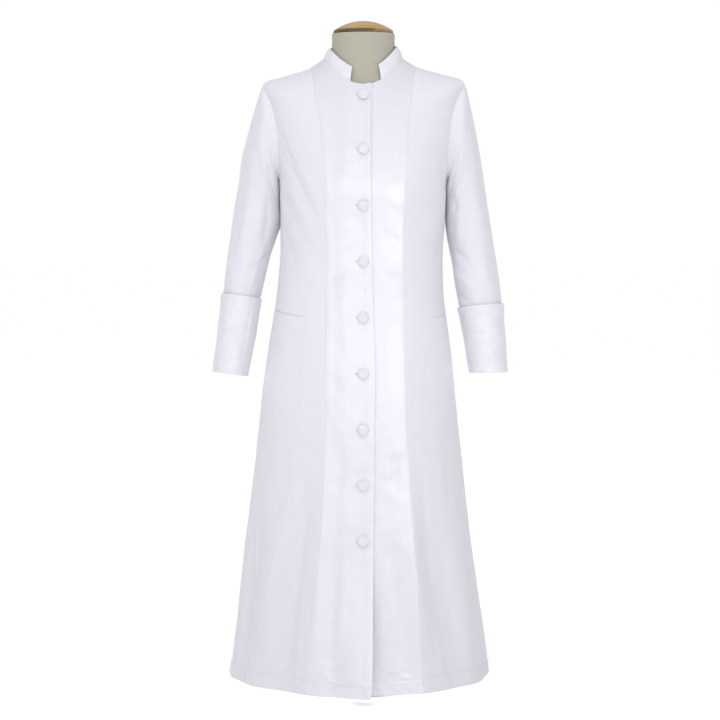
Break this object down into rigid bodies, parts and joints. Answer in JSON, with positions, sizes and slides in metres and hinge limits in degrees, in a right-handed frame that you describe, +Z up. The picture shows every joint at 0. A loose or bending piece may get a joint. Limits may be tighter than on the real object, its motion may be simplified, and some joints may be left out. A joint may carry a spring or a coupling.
{
  "type": "pulpit robe on dress form",
  "caption": "Long flared pulpit robe with satin front panels, notched stand collar, long sleeves with turned-back cuffs and covered buttons, worn by a limbless dress form on a stand.",
  "frame": {"origin": "centre of the underside of the dress form's base plate, on the floor", "axes": "+Z up; the robe's front faces -Y; the wearer's right side is at -X"},
  "size_m": [0.6055, 0.4109, 1.3593],
  "materials": {
    "satin": "white satin",
    "cloth": "white plain weave, matte",
    "button": "cloth-covered, domed",
    "canvas": "natural linen",
    "wood": "turned, satin varnish",
    "steel": "brushed"
  },
  "bodies": {
    "root": {"front_right": "satin", "front_left": "satin", "side_front_right": "cloth", "side_front_left": "cloth", "back": "cloth", "sleeve_right": "cloth", "sleeve_left": "cloth", "cuff_right": "satin", "cuff_left": "satin", "collar": "satin", "pocket_welt_right": "cloth", "pocket_welt_left": "cloth", "button_1": "button", "button_2": "button", "button_3": "button", "button_4": "button", "button_5": "button", "button_6": "button", "button_7": "button", "button_8": "button", "button_9": "button", "form_torso": "canvas", "form_neck_cap": "wood", "stand_pole": "steel", "stand_base": "steel"}
  },
  "joints": []
}
